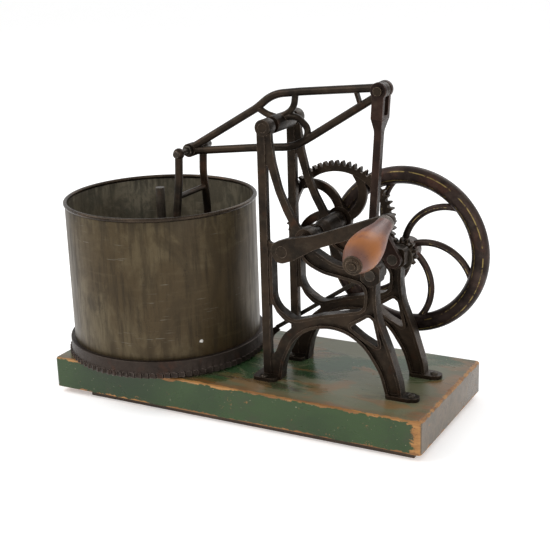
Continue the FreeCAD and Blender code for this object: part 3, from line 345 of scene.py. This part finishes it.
def painted_board(low, high):
    """Green paint over pine: rubbed to orange wood along the edges, stained brown on top."""
    material, tree, where = start_material("worn_green_paint")
    grime = use(tree, GRIME, {"Vector": where, "Patch Scale": 9.0, "Grain Scale": 600.0})
    fibre = noise(tree, stretched(tree, where, (15, 132, 132)), 1.0, 7, 0.62, 0.6)
    fine = noise(tree, stretched(tree, where, (28, 520, 520)), 1.0, 5, 0.6)
    ragged = noise(tree, stretched(tree, where, (60, 90, 90)), 1.0, 7, 0.7, 0.4)
    x, y, z = parts_of(tree, where)
    top = limit(tree, z, high.z - 0.0009, high.z - 0.0002)
    end = limit(tree, x, high.x - 0.0012, high.x - 0.0004)
    side_paint = blend(tree, grime["Patches"], (0.0125, 0.032, 0.0050), (0.0235, 0.053, 0.0095))
    faded = limit(tree, noise(tree, where, 26.0, 5, 0.6), 0.54, 0.68, 0.0, 0.5)
    side_paint = blend(tree, faded, side_paint, (0.030, 0.036, 0.014))
    end_paint = blend(tree, limit(tree, fibre, 0.35, 0.65), (0.074, 0.052, 0.030),
                      (0.120, 0.084, 0.050))
    end_paint = blend(tree, limit(tree, noise(tree, where, 18.0, 5), 0.46, 0.62, 0.0, 0.6),
                      end_paint, (0.056, 0.052, 0.032))
    blotch = noise(tree, stretched(tree, where, (7, 12, 12)), 1.0, 6, 0.6, 0.8)
    patch = noise(tree, stretched(tree, where, (11, 20, 20)), 1.4, 6, 0.62, 0.6)
    top_paint = blend(tree, limit(tree, blotch, 0.44, 0.56), (0.026, 0.060, 0.022),
                      (0.120, 0.120, 0.068))
    top_paint = blend(tree, limit(tree, patch, 0.50, 0.60, 0.0, 0.7), top_paint,
                      (0.190, 0.098, 0.036))
    dark_stain = noise(tree, stretched(tree, where, (9, 30, 30)), 1.0, 6, 0.66, 0.7)
    top_paint = blend(tree, limit(tree, dark_stain, 0.56, 0.66, 0.0, 0.7), top_paint,
                      (0.040, 0.026, 0.015))
    near_front = limit(tree, maths(tree, "ADD", y, maths(tree, "MULTIPLY", blotch, 0.05)),
                       low.y + 0.048, low.y + 0.026, 0.0, 0.8)
    near_end = limit(tree, maths(tree, "SUBTRACT", x, maths(tree, "MULTIPLY", patch, 0.05)),
                     high.x - 0.052, high.x - 0.026, 0.0, 0.7)
    border = maths(tree, "MAXIMUM", near_front, near_end)
    rubbed = blend(tree, limit(tree, fibre, 0.4, 0.6), (0.170, 0.060, 0.016),
                   (0.085, 0.062, 0.022))
    top_paint = blend(tree, border, top_paint, rubbed)
    paint = blend(tree, end, side_paint, end_paint)
    paint = blend(tree, top, paint, top_paint)
    specks = limit(tree, noise(tree, where, 330.0, 2, 0.5), 0.735, 0.765)
    paint = blend(tree, maths(tree, "MULTIPLY", specks, 0.6), paint, (0.42, 0.38, 0.26))
    wood = blend(tree, limit(tree, fibre, 0.35, 0.65), (0.190, 0.078, 0.018),
                 (0.400, 0.190, 0.054))
    wood = blend(tree, limit(tree, fine, 0.55, 0.75, 0.0, 0.6), wood, (0.10, 0.042, 0.014))
    spread = maths(tree, "MULTIPLY", maths(tree, "SUBTRACT", ragged, 0.5), 0.012)
    bite = noise(tree, stretched(tree, where, (16, 16, 16)), 1.0, 4, 0.6)
    bite = limit(tree, bite, 0.58, 0.70)
    spread = maths(tree, "ADD", spread, maths(tree, "MULTIPLY", bite, 0.0035))
    up_edge = limit(tree, maths(tree, "ADD", z, spread), high.z - 0.0022, high.z - 0.0014)
    low_edge = limit(tree, maths(tree, "SUBTRACT", z, spread), low.z + 0.0014, low.z + 0.0004)
    rim = maths(tree, "MULTIPLY", maths(tree, "MAXIMUM", up_edge, low_edge),
                maths(tree, "SUBTRACT", 1.0, top))
    to_front = maths(tree, "SUBTRACT", y, low.y)
    to_end = maths(tree, "SUBTRACT", high.x, x)
    lip = limit(tree, maths(tree, "SUBTRACT", maths(tree, "MINIMUM", to_front, to_end), spread),
                0.0040, 0.0026)
    rim = maths(tree, "MAXIMUM", rim, maths(tree, "MULTIPLY", lip, top))
    corner = maths(tree, "ADD", maths(tree, "ADD", to_front, to_end),
                   maths(tree, "MULTIPLY", maths(tree, "SUBTRACT", ragged, 0.5), 0.050))
    corner = maths(tree, "MULTIPLY", limit(tree, corner, 0.0115, 0.0090),
                   maths(tree, "SUBTRACT", 1.0, end))
    rim = maths(tree, "MAXIMUM", rim, corner)
    chips = limit(tree, noise(tree, stretched(tree, where, (70, 100, 100)), 1.0, 6, 0.78),
                  0.635, 0.675)
    bare = maths(tree, "MAXIMUM", rim, maths(tree, "MULTIPLY", chips, 0.85))
    colour = blend(tree, bare, paint, wood)
    colour = blend(tree, maths(tree, "MULTIPLY", grime["Pits"], 0.9), colour,
                   (0.020, 0.015, 0.010))
    rough = limit(tree, blotch, 0.3, 0.7, 0.20, 0.34)
    rough = maths(tree, "ADD", rough, maths(tree, "MULTIPLY", bare, 0.25))
    height = maths(tree, "SUBTRACT", maths(tree, "MULTIPLY", fine, 0.3),
                   maths(tree, "MULTIPLY", bare, 1.3))
    height = maths(tree, "ADD", height, maths(tree, "MULTIPLY", patch, 1.5))
    normal = bump(tree, height, 0.40, 0.0008)
    return finish_material(material, tree, {"Specular IOR Level": 0.45},
                           {"Base Color": colour, "Roughness": rough, "Normal": normal})


def grip_wood():
    """Turned wood: orange along its body, darker and pinker towards its neck, and darker again
    towards its other end.
    """
    material, tree, where = start_material("red_orange_turned_wood")
    grime = use(tree, GRIME, {"Vector": where, "Patch Scale": 30.0, "Grain Scale": 900.0})
    fibre = noise(tree, stretched(tree, where, (210, 16, 210)), 1.0, 6, 0.6, 0.5)
    body = blend(tree, limit(tree, fibre, 0.3, 0.7), (0.135, 0.038, 0.015),
                 (0.210, 0.066, 0.022))
    body = blend(tree, limit(tree, noise(tree, where, 24.0, 3), 0.44, 0.58, 0.0, 0.75), body,
                 (0.300, 0.096, 0.010))
    body = blend(tree, limit(tree, noise(tree, where, 38.0, 4), 0.52, 0.66, 0.0, 0.6), body,
                 (0.130, 0.030, 0.018))
    neck = blend(tree, limit(tree, fibre, 0.3, 0.7), (0.075, 0.026, 0.018),
                 (0.120, 0.046, 0.030))
    away_from_arm = maths(tree, "ABSOLUTE", along_axis(tree, where, "grip_spin"))
    wavy = maths(tree, "ADD", away_from_arm,
                 maths(tree, "MULTIPLY", noise(tree, where, 55.0, 3), 0.012))
    colour = blend(tree, limit(tree, wavy, 0.040, 0.066), neck, body)
    colour = blend(tree, limit(tree, wavy, 0.080, 0.100, 0.0, 0.8), colour,
                   (0.105, 0.046, 0.032))
    rings = band(tree, away_from_arm, 0.0205, 0.0004, 0.0002)
    rings = maths(tree, "MAXIMUM", rings, band(tree, away_from_arm, 0.0235, 0.0004, 0.0002))
    colour = blend(tree, maths(tree, "MULTIPLY", rings, 0.7), colour, (0.030, 0.012, 0.008))
    colour = blend(tree, maths(tree, "MULTIPLY", grime["Pits"], 0.9), colour,
                   (0.05, 0.02, 0.01))
    rough = limit(tree, grime["Grain"], 0.3, 0.7, 0.34, 0.50)
    height = maths(tree, "SUBTRACT", maths(tree, "MULTIPLY", fibre, 0.5), rings)
    normal = bump(tree, height, 0.25, 0.0004)
    return finish_material(material, tree, {"Specular IOR Level": 0.4},
                           {"Base Color": colour, "Roughness": rough, "Normal": normal})


def plain_wood(name, light, dark):
    """Bare old timber with long grain."""
    material, tree, where = start_material(name)
    fibre = noise(tree, stretched(tree, where, (8, 120, 120)), 1.5, 6, 0.6, 0.5)
    grime = use(tree, GRIME, {"Vector": where, "Patch Scale": 14.0, "Grain Scale": 500.0})
    colour = blend(tree, limit(tree, fibre, 0.3, 0.7), dark, light)
    colour = blend(tree, maths(tree, "MULTIPLY", grime["Patches"], 0.4), colour,
                   [part * 0.5 for part in dark])
    normal = bump(tree, fibre, 0.3, 0.0006)
    return finish_material(material, tree, {"Roughness": 0.7},
                           {"Base Color": colour, "Normal": normal})


# ---- measures and materials ------------------------------------------------------------

VAT_LOW, VAT_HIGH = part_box("vat_shell")
VAT_FOOT, VAT_TOP = VAT_LOW.z, VAT_HIGH.z
VAT_RADIUS = (VAT_HIGH.x - VAT_LOW.x) / 2
CHIP_PLACE = Vector((-0.0422, -0.0685, 0.0851))
WHEEL_LOW, WHEEL_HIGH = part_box("flywheel")
WHEEL_MIDDLE = (WHEEL_LOW.y + WHEEL_HIGH.y) / 2
RIM_HALF_WIDTH = 0.010
WHEEL_RADIUS = (WHEEL_HIGH.x - WHEEL_LOW.x) / 2 - RIM_HALF_WIDTH

IRON = iron("patinated_iron", (0.0105, 0.0076, 0.0052), (0.036, 0.0235, 0.0145),
            (0.060, 0.046, 0.031))
WHEEL_IRON = iron("striped_iron", (0.0150, 0.0100, 0.0085), (0.050, 0.0325, 0.0260),
                  (0.072, 0.056, 0.044), stripe=rim_line)
RED_IRON = iron("rusty_iron", (0.0135, 0.0080, 0.0060), (0.038, 0.020, 0.0145),
                (0.056, 0.040, 0.029))
RING_IRON = iron("ring_iron", (0.026, 0.019, 0.0155), (0.042, 0.031, 0.025),
                 (0.06, 0.05, 0.042), shine=0.46)
STEEL = iron("aged_steel", (0.018, 0.0145, 0.011), (0.052, 0.041, 0.030),
             (0.075, 0.063, 0.048), metallic=0.7, shine=0.34)
BRIGHT = iron("worn_bright_steel", (0.13, 0.112, 0.10), (0.22, 0.19, 0.17),
              (0.14, 0.11, 0.09), metallic=0.9, shine=0.30, wear_and_highlight_amount=0.2)
BRASS = iron("dark_brass", (0.022, 0.0150, 0.0095), (0.056, 0.037, 0.022),
             (0.060, 0.044, 0.028), shine=0.34)
TIN = tin("dull_tinplate", (0.020, 0.0135, 0.0062), (0.052, 0.0345, 0.0145),
          (0.100, 0.076, 0.040), CHIP_PLACE)
RIM_TIN = iron("dark_tin_rim", (0.022, 0.0155, 0.0105), (0.060, 0.042, 0.028),
               (0.09, 0.07, 0.05), shine=0.30, wear_and_highlight_amount=0.3)
BOARD = painted_board(*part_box("base_board"))
GRIP_WOOD = grip_wood()
BARE_WOOD = plain_wood("bare_wood", (0.075, 0.050, 0.030), (0.035, 0.022, 0.013))

FINISHES = {
    "base_board": BOARD, "base_plinth": BARE_WOOD, "chopping_block": BARE_WOOD,
    "vat_shell": TIN, "vat_rim_wire": RIM_TIN, "ratchet_ring": RING_IRON,
    "wooden_grip": GRIP_WOOD, "grip_ferrule": BRIGHT, "grip_washer": BRASS,
    "grip_spindle": BRASS, "frame_screws": STEEL, "beam_pivot_shaft": IRON,
    "centre_post": STEEL, "crank_shaft": IRON, "pawl_rod": STEEL, "flywheel": WHEEL_IRON,
    "flywheel_shaft": STEEL, "front_crank_journal": STEEL, "connecting_rod": RED_IRON,
    "rod_bolt": BRASS, "crank_pin": STEEL, "chopping_blade": STEEL, "blade_bar": STEEL,
    "fork_pin": STEEL, "fork_collars": STEEL, "rear_crank_web": RED_IRON,
}


WELD_GAP = 0.00001
ROUNDING_WIDTH, ROUNDING_ANGLE = 0.0006, 38


def dress_castings():
    """Gives each CAD node its finish and a small rounding on its hard edges."""
    for name, node in NODES.items():
        node.data.materials.clear()
        node.data.materials.append(FINISHES.get(name, IRON))
        weld = node.modifiers.new("weld", "WELD")
        weld.merge_threshold = WELD_GAP
        rounding = node.modifiers.new("rounding", "BEVEL")
        rounding.width = ROUNDING_WIDTH
        rounding.segments = 2
        rounding.limit_method = "ANGLE"
        rounding.angle_limit = math.radians(ROUNDING_ANGLE)


dress_castings()

# ---- repeated pieces -------------------------------------------------------------------


def repeat_tree():
    """Copies a pattern on to every point, each turned a step further round an axis."""
    tree = bpy.data.node_groups.new("Turned Copies", "GeometryNodeTree")
    for label, kind in (("Points", "NodeSocketGeometry"), ("Pattern", "NodeSocketObject"),
                        ("Turn Axis", VECTOR), ("Turn Step", FLOAT),
                        ("Finish", "NodeSocketMaterial")):
        tree.interface.new_socket(label, in_out="INPUT", socket_type=kind)
    tree.interface.new_socket("Geometry", in_out="OUTPUT", socket_type="NodeSocketGeometry")
    given = tree.nodes.new("NodeGroupInput").outputs
    out = tree.nodes.new("NodeGroupOutput").inputs
    shape = add(tree, "GeometryNodeObjectInfo", {"Object": given["Pattern"]})
    index = add(tree, "GeometryNodeInputIndex").outputs[0]
    angle = maths(tree, "MULTIPLY", index, given["Turn Step"])
    turn = add(tree, "FunctionNodeAxisAngleToRotation", {"Axis": given["Turn Axis"],
                                                         "Angle": angle})
    copies = add(tree, "GeometryNodeInstanceOnPoints", {
        "Points": given["Points"], "Instance": shape.outputs["Geometry"],
        "Rotation": turn.outputs[0]})
    real = add(tree, "GeometryNodeRealizeInstances", {"Geometry": copies.outputs[0]})
    dressed = add(tree, "GeometryNodeSetMaterial", {"Geometry": real.outputs[0],
                                                    "Material": given["Finish"]})
    tree.links.new(dressed.outputs[0], out["Geometry"])
    return tree


def new_piece(name, data):
    """A new object in the scene, for a mesh, a light or a camera."""
    piece = bpy.data.objects.new(name, data)
    bpy.context.scene.collection.objects.link(piece)
    return piece


def finished_mesh(name, builder):
    """Turns a bmesh into a mesh and frees it."""
    mesh = bpy.data.meshes.new(name)
    builder.to_mesh(mesh)
    builder.free()
    return mesh


def smooth(mesh, degrees):
    """Shades a mesh smooth except at edges sharper than an angle."""
    for face in mesh.polygons:
        face.use_smooth = True
    mesh.set_sharp_from_angle(angle=math.radians(degrees))


def skin(builder, loops):
    """Lays faces between each ring of vertices and the next."""
    for lower, upper in zip(loops, loops[1:]):
        for i, corner in enumerate(lower):
            j = (i + 1) % len(lower)
            builder.faces.new((corner, lower[j], upper[j], upper[i]))


def repeated(name, tree, places, pattern, axis, step, material):
    """One plain mesh holding the pattern at every place."""
    points = bpy.data.meshes.new(f"{name}_points")
    points.from_pydata([tuple(place) for place in places], [], [])
    holder = new_piece(f"{name}_holder", points)
    shape = new_piece(f"{name}_pattern", pattern)
    modifier = holder.modifiers.new("copies", "NODES")
    modifier.node_group = tree
    wanted = {"Pattern": shape, "Turn Axis": axis, "Turn Step": step, "Finish": material}
    for item in tree.interface.items_tree:
        if item.in_out == "INPUT" and item.name in wanted:
            modifier[item.identifier] = wanted[item.name]
    bpy.context.view_layer.update()
    graph = bpy.context.evaluated_depsgraph_get()
    mesh = bpy.data.meshes.new_from_object(holder.evaluated_get(graph), depsgraph=graph)
    mesh.name = name
    holder.modifiers.remove(modifier)
    bpy.data.objects.remove(holder)
    bpy.data.objects.remove(shape)
    mesh.materials.clear()
    mesh.materials.append(material)
    for face in mesh.polygons:
        face.material_index = 0
    smooth(mesh, 40)
    return new_piece(name, mesh)


HEAD_SIDES = 36
HEAD_WALL = 0.35
SLOT_WIDTH, SLOT_LENGTH, SLOT_DEPTH = 0.13, 0.80, 0.32


def slotted_head(radius, height):
    """A domed screw head with a closed slot, standing on z = 0."""
    builder = bmesh.new()
    rings = [(radius, 0.0), (radius, height * HEAD_WALL)]
    rings += [(radius * math.cos(turn), height * (HEAD_WALL + (1 - HEAD_WALL) * math.sin(turn)))
              for turn in (math.radians(15 * step) for step in range(1, 6))]
    turns = [math.tau * i / HEAD_SIDES for i in range(HEAD_SIDES)]
    loops = [[builder.verts.new((ring_radius * math.cos(turn), ring_radius * math.sin(turn), z))
              for turn in turns] for ring_radius, z in rings]
    skin(builder, loops)
    builder.faces.new(loops[-1])
    builder.faces.new(list(reversed(loops[0])))
    half_width, half_length = radius * SLOT_WIDTH, radius * SLOT_LENGTH
    for axis, half in (((1, 0, 0), half_width), ((0, 1, 0), half_length)):
        for side in (-1, 1):
            bmesh.ops.bisect_plane(builder, geom=builder.verts[:] + builder.edges[:]
                                   + builder.faces[:], plane_co=Vector(axis) * half * side,
                                   plane_no=axis)
    slot = [face for face in builder.faces
            if abs(face.calc_center_median().x) < half_width
            and abs(face.calc_center_median().y) < half_length
            and face.calc_center_median().z > height * 0.4]
    sunk = bmesh.ops.extrude_face_region(builder, geom=slot)
    bmesh.ops.delete(builder, geom=slot, context="FACES")
    for vertex in (item for item in sunk["geom"] if isinstance(item, bmesh.types.BMVert)):
        vertex.co.z -= height * SLOT_DEPTH
    bmesh.ops.recalc_face_normals(builder, faces=builder.faces[:])
    return finished_mesh("slotted_head", builder)


SPOKES = 6
SPOKE_RADIUS = 3.9
LINE_STEPS, LINE_HALF, LINE_LIFT = 48, 0.45, 0.04
LINE_START, LINE_SHARE = 0.24, 0.62


def spoke_line():
    """A thin painted line along the front of one bowed spoke, about the wheel's centre."""
    big = WHEEL_RADIUS / MM
    start, bow, end = (Vector((radius * math.cos(math.radians(turn)),
                               radius * math.sin(math.radians(turn))))
                       for radius, turn in ((9, 50), (big * 0.49, 11.4), (big - 3, -22)))
    first, second = bow - start, end - start
    twice = 2 * (first.x * second.y - first.y * second.x)
    centre = start + Vector((second.y * first.length_squared - first.y * second.length_squared,
                             first.x * second.length_squared - second.x * first.length_squared)
                            ) / twice
    radius = (start - centre).length
    angles = [math.atan2((point - centre).y, (point - centre).x) for point in (start, end)]
    sweep = (angles[1] - angles[0] + math.pi) % math.tau - math.pi
    vertices, faces = [], []
    for step in range(LINE_STEPS + 1):
        turn = angles[0] + sweep * (LINE_START + LINE_SHARE * step / LINE_STEPS)
        for offset in (-LINE_HALF, 0.0, LINE_HALF):
            depth = math.sqrt(SPOKE_RADIUS ** 2 - offset ** 2) + LINE_LIFT
            reach = radius + offset
            vertices.append((MM * (centre.x + reach * math.cos(turn)), -MM * depth,
                             MM * (centre.y + reach * math.sin(turn))))
    for step in range(LINE_STEPS):
        for rail in (0, 1):
            a = step * 3 + rail
            corners = (a, a + 1, a + 4, a + 3)
            faces.append(corners if sweep < 0 else corners[::-1])
    mesh = bpy.data.meshes.new("spoke_line")
    mesh.from_pydata(vertices, [], faces)
    mesh.update()
    if mesh.polygons[0].normal.y > 0:
        mesh.flip_normals()
    return mesh


def gold_paint():
    """Old gold lining, rubbed through to dark iron in places."""
    material, tree, where = start_material("rubbed_gold_lining")
    left = limit(tree, noise(tree, where, 110.0, 6, 0.72), 0.46, 0.56, 0.0, 0.8)
    tone = blend(tree, noise(tree, where, 400.0, 3), (0.22, 0.155, 0.050), (0.36, 0.265, 0.095))
    colour = blend(tree, left, (0.030, 0.020, 0.016), tone)
    normal = bump(tree, noise(tree, where, 700.0, 3), 0.2, 0.0002)
    return finish_material(material, tree, {"Roughness": 0.5},
                           {"Base Color": colour, "Normal": normal})


COPIES = repeat_tree()


def line_spokes():
    """The gold lining on the front of every spoke."""
    place = Vector(JOINTS["flywheel_turn"]["pos_m"])
    place.y = WHEEL_MIDDLE
    lining = repeated("spoke_lining", COPIES, [place] * SPOKES, spoke_line(), (0, 1, 0),
                      math.tau / SPOKES, gold_paint())
    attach(lining, "flywheel")


# The grip's radius in millimetres, by the share of its length from the neck.
GRIP_PROFILE = [
    (0.00, 8.3), (0.02, 8.9), (0.08, 9.3), (0.14, 9.9), (0.20, 10.8), (0.27, 12.1),
    (0.35, 13.6), (0.44, 15.2), (0.53, 16.5), (0.61, 17.2), (0.68, 17.4), (0.75, 16.9),
    (0.82, 15.7), (0.89, 13.8), (0.95, 11.7), (0.985, 10.2), (1.00, 9.4),
]
GRIP_BORE = 3.9
GRIP_SIDES = 72


def turned_grip():
    """The grip's turning: a long neck that swells to the hand, bored for its spindle."""
    foot, axis = joint_line("grip_spin")
    if axis.y > 0:
        axis = -axis
    reach = [(vertex.co - foot).dot(axis) for vertex in NODES["wooden_grip"].data.vertices]
    start, length = min(reach), max(reach) - min(reach)
    side = axis.orthogonal().normalized()
    other = axis.cross(side)
    turns = [math.tau * i / GRIP_SIDES for i in range(GRIP_SIDES)]
    builder = bmesh.new()
    loops = []
    for share, radius in [(0.0, GRIP_BORE)] + GRIP_PROFILE + [(1.0, GRIP_BORE)]:
        centre = foot + axis * (start + length * share)
        loops.append([builder.verts.new(
            centre + MM * radius * (side * math.cos(turn) + other * math.sin(turn)))
            for turn in turns])
    skin(builder, loops + [loops[0]])
    bmesh.ops.recalc_face_normals(builder, faces=builder.faces[:])
    mesh = finished_mesh("turned_grip", builder)
    mesh.materials.append(GRIP_WOOD)
    smooth(mesh, 50)
    piece = new_piece("turned_grip", mesh)
    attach(piece, "grip")
    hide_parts("wooden_grip")


HEAD_RADIUS, HEAD_HEIGHT = 4.3 * MM, 2.4 * MM
FOOT_SPREAD = 12.6 * MM
SLOT_TURN = 1.1


def foot_screws():
    """Slotted heads in place of the plain ones in the frames' feet."""
    low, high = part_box("frame_screws")
    places = []
    for plane in (low.y + HEAD_RADIUS + FOOT_SPREAD, high.y - HEAD_RADIUS - FOOT_SPREAD):
        places += [(low.x + HEAD_RADIUS, plane - FOOT_SPREAD),
                   (low.x + HEAD_RADIUS, plane + FOOT_SPREAD), (high.x - HEAD_RADIUS, plane)]
    points = [(x, y, high.z - HEAD_HEIGHT) for x, y in places]
    heads = repeated("slotted_screws", COPIES, points, slotted_head(HEAD_RADIUS, HEAD_HEIGHT),
                     (0, 0, 1), SLOT_TURN, STEEL)
    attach(heads, "stand")
    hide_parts("frame_screws")


line_spokes()
turned_grip()
foot_screws()

# ---- floor, light and camera -----------------------------------------------------------


FLOOR_HALF = 6.0
FLOOR_GLOW = 0.30
LIGHT_ON_OBJECT, LIGHT_IN_VIEW = 0.78, 1.02
LAMP_SIZE = 1.2
LAMP_AIM = Vector((0, 0, 0.15))
LAMPS = {"key": ((-1.3, -0.9, 1.6), 22), "fill": ((1.7, -0.9, 0.9), 9),
         "back": ((0.3, 1.6, 1.4), 9)}


def pale_floor():
    """A plain pale floor, lit a little from within so that it meets the background."""
    builder = bmesh.new()
    builder.faces.new([builder.verts.new((x * FLOOR_HALF, y * FLOOR_HALF, 0))
                       for x, y in ((-1, -1), (1, -1), (1, 1), (-1, 1))])
    mesh = finished_mesh("floor", builder)
    floor = new_piece("floor", mesh)
    material, tree, where = start_material("pale_floor")
    colour = blend(tree, noise(tree, where, 2.0, 2), (0.87, 0.87, 0.87), (0.89, 0.89, 0.89))
    mesh.materials.append(finish_material(
        material, tree, {"Roughness": 0.9, "Emission Color": (1, 1, 1, 1),
                         "Emission Strength": FLOOR_GLOW}, {"Base Color": colour}))


def studio():
    """Even white light all round, with a large soft lamp above and two gentle ones."""
    world = bpy.data.worlds.new("studio")
    world.use_nodes = True
    sky = world.node_tree
    glow = sky.nodes["Background"]
    glow.inputs["Color"].default_value = (1, 1, 1, 1)
    seen = add(sky, "ShaderNodeLightPath").outputs["Is Camera Ray"]
    strength = add(sky, "ShaderNodeMapRange", {"Value": seen, "To Min": LIGHT_ON_OBJECT,
                                               "To Max": LIGHT_IN_VIEW})
    sky.links.new(strength.outputs["Result"], glow.inputs["Strength"])
    bpy.context.scene.world = world
    bpy.context.scene.view_settings.view_transform = "Standard"
    for name, (place, power) in LAMPS.items():
        light = bpy.data.lights.new(name, "AREA")
        light.energy = power
        light.size = LAMP_SIZE
        lamp = new_piece(name, light)
        lamp.location = place
        lamp.rotation_euler = (LAMP_AIM - lamp.location).to_track_quat("-Z", "Y").to_euler()


CAMERA_PLACE = (0.62566, -1.12381, 0.55006)
CAMERA_YAW, CAMERA_PITCH, CAMERA_ROLL = 28.36, 17.34, -1.80
CAMERA_SENSOR, CAMERA_LENS = 36, 76.07


def camera():
    """Stands to the crank side and a little above, turned towards the vat."""
    yaw, pitch, roll = map(math.radians, (CAMERA_YAW, CAMERA_PITCH, CAMERA_ROLL))
    ahead = Vector((-math.sin(yaw) * math.cos(pitch), math.cos(yaw) * math.cos(pitch),
                    -math.sin(pitch)))
    right = Vector((math.cos(yaw), math.sin(yaw), 0))
    up = right.cross(ahead)
    tilted_right = right * math.cos(roll) + up * math.sin(roll)
    tilted_up = up * math.cos(roll) - right * math.sin(roll)
    data = bpy.data.cameras.new("camera")
    data.sensor_width = CAMERA_SENSOR
    data.lens = CAMERA_LENS
    eye = new_piece("camera", data)
    turn = Matrix((tilted_right, tilted_up, -ahead)).transposed().to_4x4()
    eye.matrix_world = Matrix.Translation(CAMERA_PLACE) @ turn
    bpy.context.scene.camera = eye


pale_floor()
studio()
camera()
